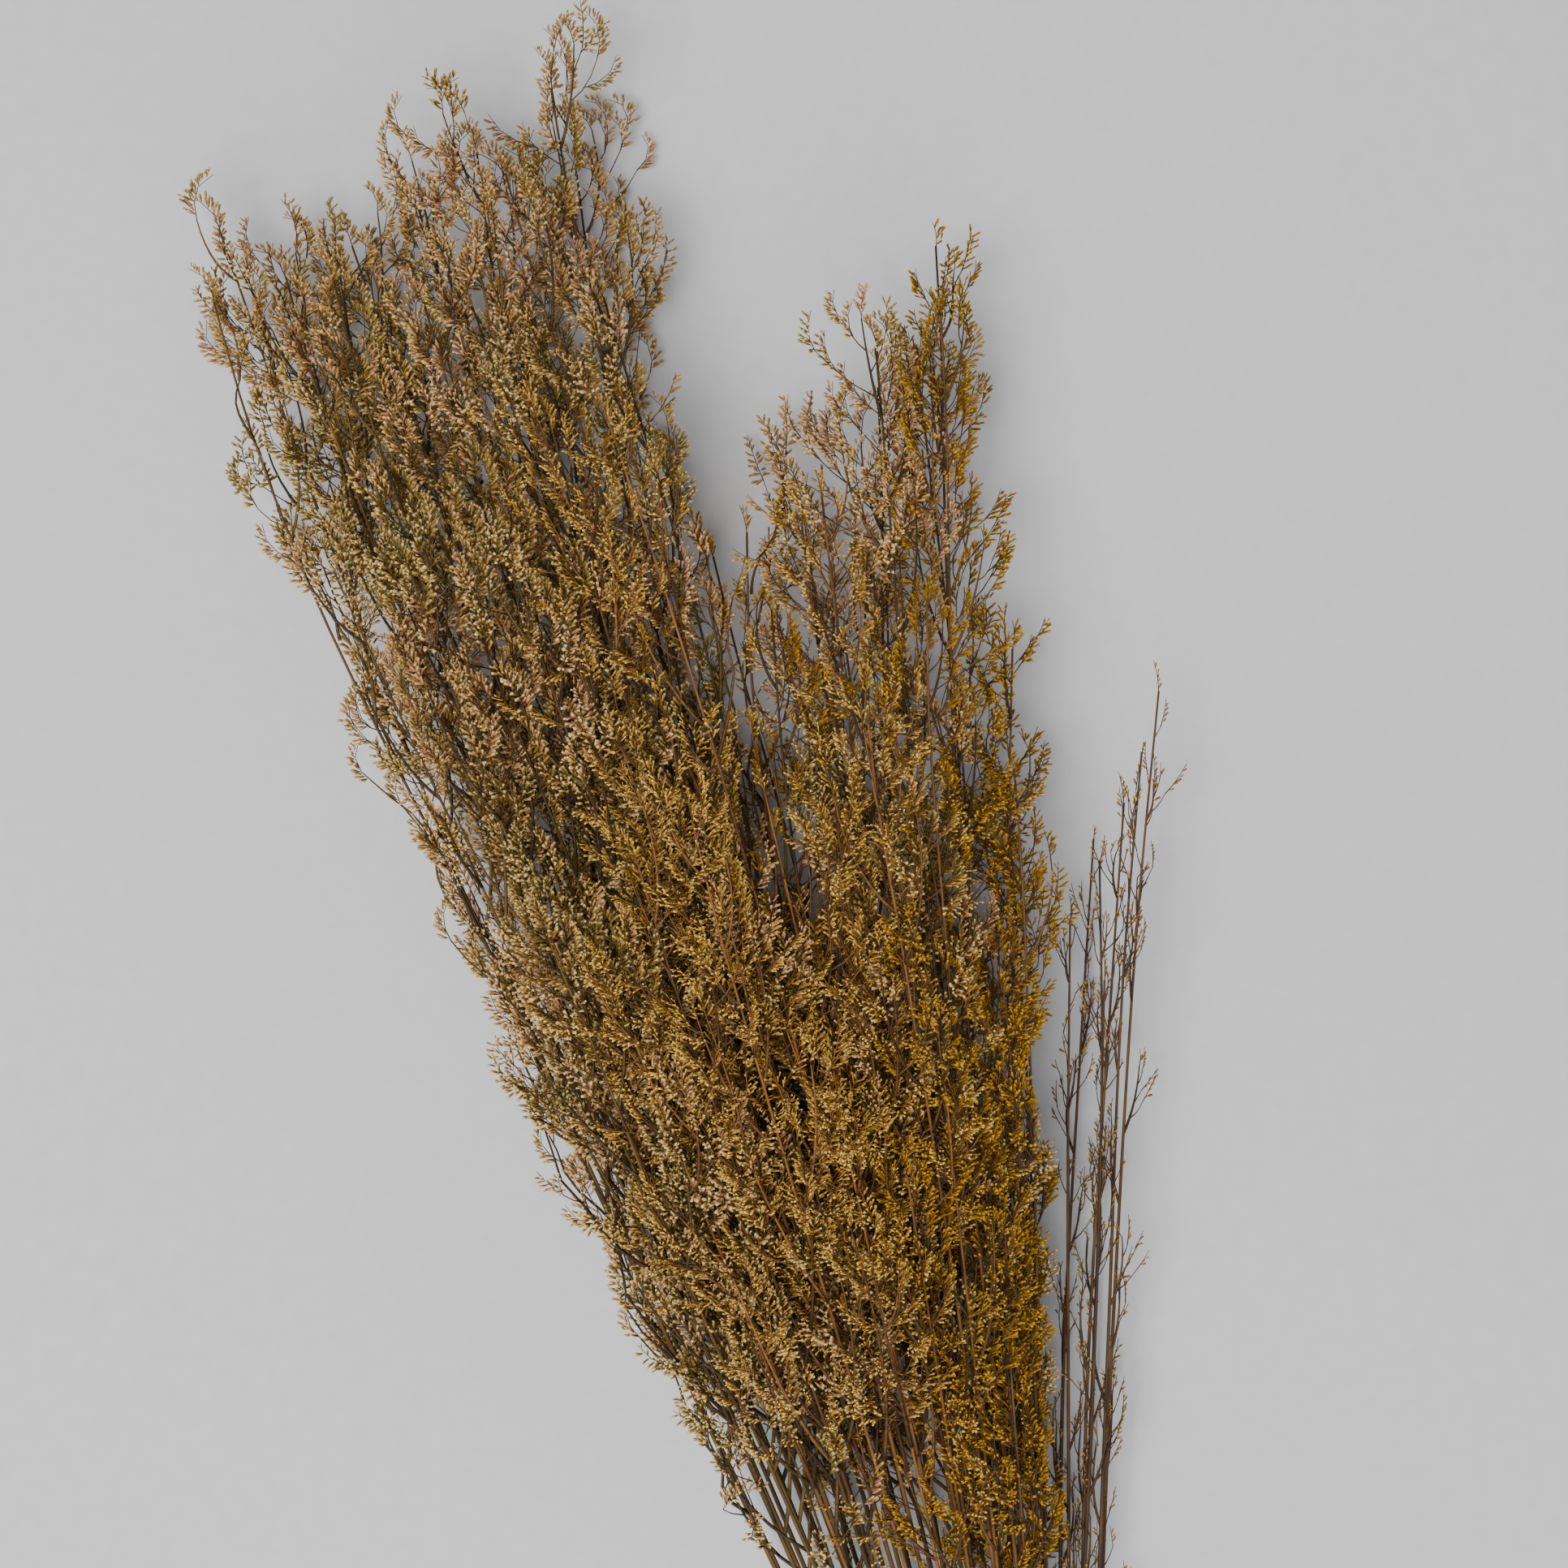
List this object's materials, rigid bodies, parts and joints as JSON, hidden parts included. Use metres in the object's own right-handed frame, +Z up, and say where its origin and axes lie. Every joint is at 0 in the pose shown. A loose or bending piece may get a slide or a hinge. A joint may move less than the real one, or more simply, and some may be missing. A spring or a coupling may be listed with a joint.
{
  "type": "dried flower bundle",
  "caption": "Tied bunch of dried sea-lavender stalks lying flat: two fanned lobes of fine dusty-pink, wheat and mustard sprays over bare stems, for decoration.",
  "frame": {"origin": "middle of the bounding box, on the surface that the bunch lies on", "axes": "+Y along the stalks from their cut ends to their heads, +Z up from the surface, +X to the right of someone looking down with the heads away from them"},
  "size_m": [0.3028, 0.7036, 0.1119],
  "materials": {
    "blush_flowers": "matte",
    "wheat_flowers": "matte",
    "mustard_flowers": "matte",
    "bare_stems": "matte",
    "twine": "matte"
  },
  "bodies": {
    "root": {"bare_stalk_01": "bare_stems", "bare_stalk_02": "bare_stems", "bare_stalk_03": "bare_stems", "bare_stalk_04": "bare_stems", "bare_stalk_05": "bare_stems", "bare_stalk_06": "bare_stems", "bare_stalk_07": "bare_stems", "blush_stalk_01": "blush_flowers", "blush_stalk_02": "blush_flowers", "blush_stalk_03": "blush_flowers", "blush_stalk_04": "blush_flowers", "blush_stalk_05": "blush_flowers", "blush_stalk_06": "blush_flowers", "blush_stalk_07": "blush_flowers", "blush_stalk_08": "blush_flowers", "blush_stalk_09": "blush_flowers", "blush_stalk_10": "blush_flowers", "blush_stalk_11": "blush_flowers", "blush_stalk_12": "blush_flowers", "blush_stalk_13": "blush_flowers", "blush_stalk_14": "blush_flowers", "blush_stalk_15": "blush_flowers", "blush_stalk_16": "blush_flowers", "blush_stalk_17": "blush_flowers", "blush_stalk_18": "blush_flowers", "blush_stalk_19": "blush_flowers", "blush_stalk_20": "blush_flowers", "blush_stalk_21": "blush_flowers", "blush_stalk_22": "blush_flowers", "blush_stalk_23": "blush_flowers", "blush_stalk_24": "blush_flowers", "blush_stalk_25": "blush_flowers", "blush_stalk_26": "blush_flowers", "mustard_stalk_01": "mustard_flowers", "mustard_stalk_02": "mustard_flowers", "mustard_stalk_03": "mustard_flowers", "mustard_stalk_04": "mustard_flowers", "mustard_stalk_05": "mustard_flowers", "mustard_stalk_06": "mustard_flowers", "mustard_stalk_07": "mustard_flowers", "mustard_stalk_08": "mustard_flowers", "mustard_stalk_09": "mustard_flowers", "mustard_stalk_10": "mustard_flowers", "mustard_stalk_11": "mustard_flowers", "mustard_stalk_12": "mustard_flowers", "mustard_stalk_13": "mustard_flowers", "twine_tie": "twine", "wheat_stalk_01": "wheat_flowers", "wheat_stalk_02": "wheat_flowers", "wheat_stalk_03": "wheat_flowers", "wheat_stalk_04": "wheat_flowers", "wheat_stalk_05": "wheat_flowers", "wheat_stalk_06": "wheat_flowers", "wheat_stalk_07": "wheat_flowers", "wheat_stalk_08": "wheat_flowers", "wheat_stalk_09": "wheat_flowers", "wheat_stalk_10": "wheat_flowers", "wheat_stalk_11": "wheat_flowers"}
  },
  "joints": []
}
